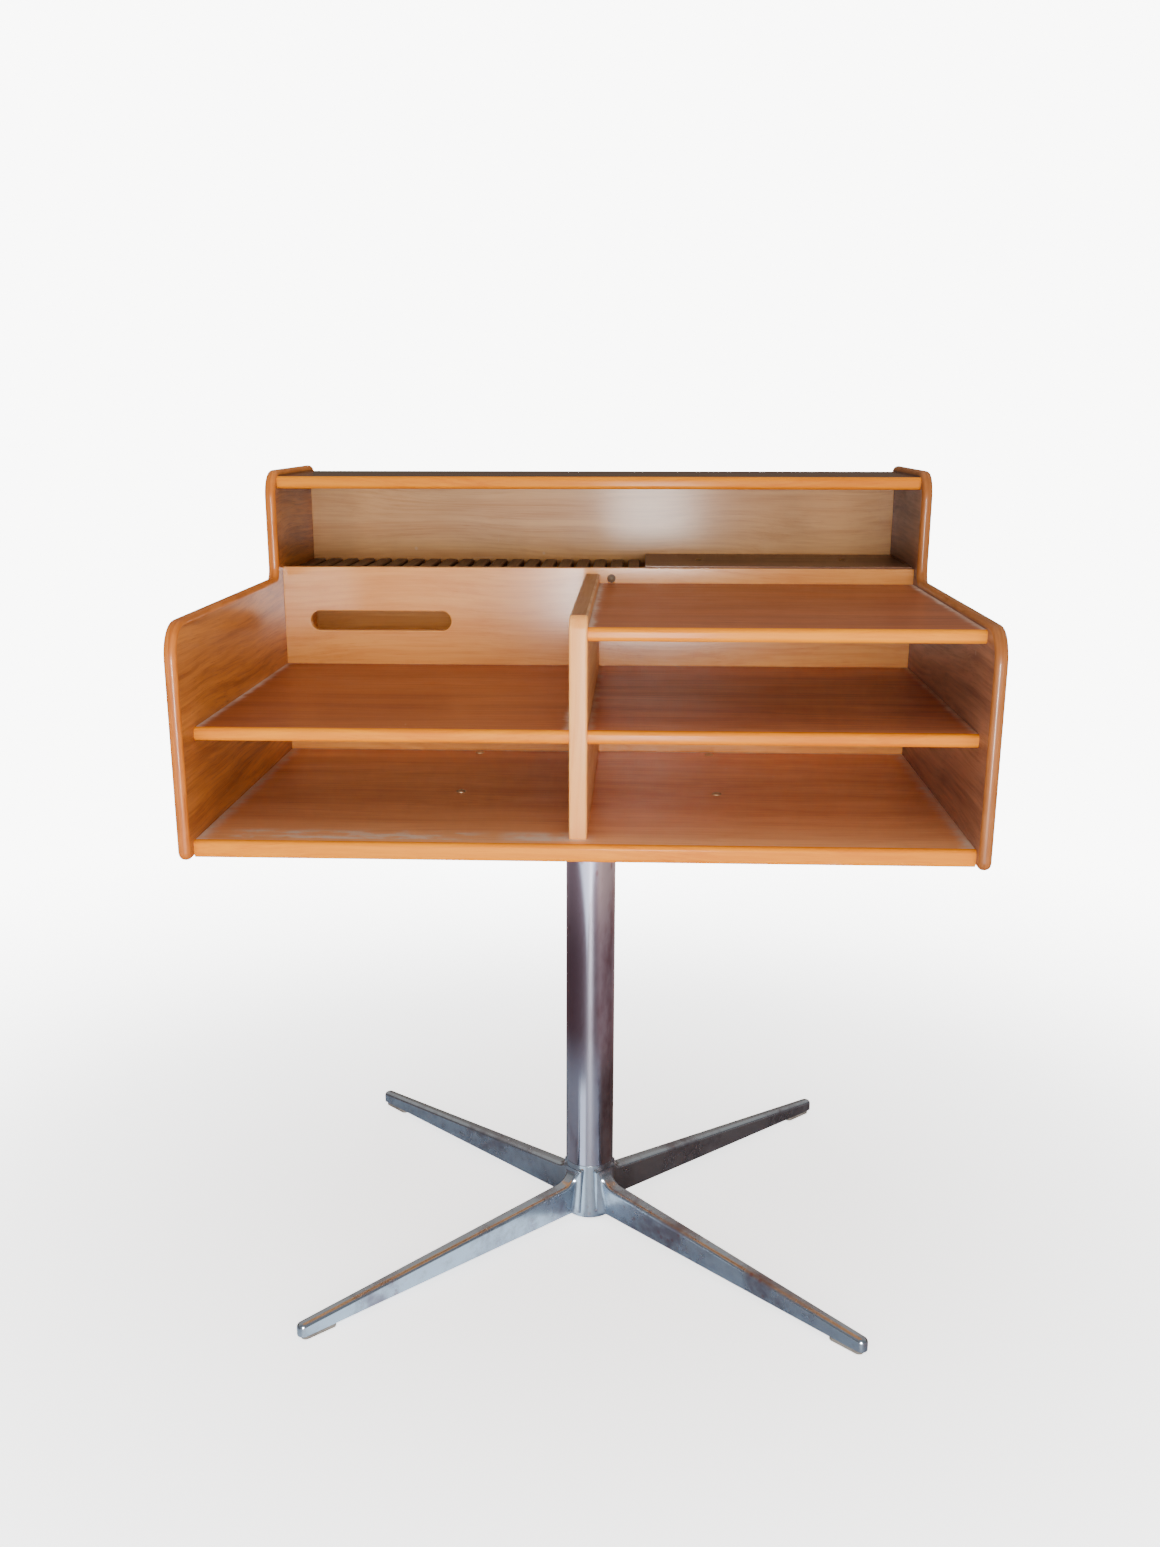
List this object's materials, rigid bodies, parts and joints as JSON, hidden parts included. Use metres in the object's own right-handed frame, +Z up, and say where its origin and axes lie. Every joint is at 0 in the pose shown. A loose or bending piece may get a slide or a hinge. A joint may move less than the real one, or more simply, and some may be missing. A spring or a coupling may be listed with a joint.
{
  "type": "swivel shelf stand",
  "caption": "Swivel shelf stand: a stepped wooden cabinet with open bays, a slotted inner panel and a grooved rear rack, turning on a round metal column with a star base.",
  "frame": {"origin": "on the column's axis at floor level, which is the middle of the footprint", "axes": "+X to the right as seen from the open front, +Y to the back, +Z up"},
  "size_m": [1, 0.87, 1.158],
  "materials": {
    "polished_alloy": "cast aluminium, worn polish with a patina",
    "polished_column": "polished tube, dull patches",
    "glide_rubber": "grey rubber",
    "zinc_steel": "zinc plated",
    "dark_steel": "dark satin paint",
    "turned_steel": "turned and greased",
    "nylon": "natural nylon",
    "brassed_bolt": "tarnished",
    "shelf_veneer": "dark teak veneer, satin lacquer",
    "solid_lipping": "solid light teak, lacquered",
    "side_veneer": "teak veneer, satin lacquer",
    "divider_wood": "pale teak edge",
    "inner_veneer": "light teak veneer, satin lacquer",
    "back_veneer": "tan teak veneer",
    "rack_wood": "dark stained wood",
    "beech": "plain beech",
    "top_lacquer": "dark, glossy lacquer",
    "dark_plastic": "brown plastic"
  },
  "bodies": {
    "pedestal": {"star_base": "polished_alloy", "glide_pads": "glide_rubber", "tie_bolt": "zinc_steel", "tie_washer": "zinc_steel", "column_plug": "dark_steel", "column_tube": "polished_column", "bearing_housing": "dark_steel", "upper_bush": "nylon", "lower_bush": "nylon", "thrust_washer": "nylon"},
    "cabinet": {"spindle": "turned_steel", "retaining_washer": "zinc_steel", "circlip": "dark_steel", "spider": "dark_steel", "spider_bolts": "brassed_bolt", "spider_washers": "zinc_steel", "spider_nuts": "zinc_steel", "bottom_board": "shelf_veneer", "bottom_front_lipping": "solid_lipping", "bottom_rear_lipping": "solid_lipping", "side_panel_left": "side_veneer", "side_panel_right": "side_veneer", "divider": "divider_wood", "mid_shelf_left": "shelf_veneer", "mid_shelf_left_lipping": "solid_lipping", "mid_shelf_right": "shelf_veneer", "mid_shelf_right_lipping": "solid_lipping", "right_top_shelf": "shelf_veneer", "right_top_shelf_lipping": "solid_lipping", "inner_panel": "inner_veneer", "panel_cap": "dark_plastic", "back_panel": "back_veneer", "compartment_floor": "rack_wood", "rack_ridges": "rack_wood", "raised_board": "rack_wood", "raised_board_battens": "beech", "raised_board_screws": "brassed_bolt", "top_board": "top_lacquer", "top_front_lipping": "solid_lipping", "top_rear_lipping": "solid_lipping", "dowels": "beech"}
  },
  "joints": [
    {"name": "swivel", "type": "hinge", "parent": "pedestal", "child": "cabinet", "pos_m": [0, 0, 0.696], "axis": [0, 0, 1], "continuous": true}
  ]
}
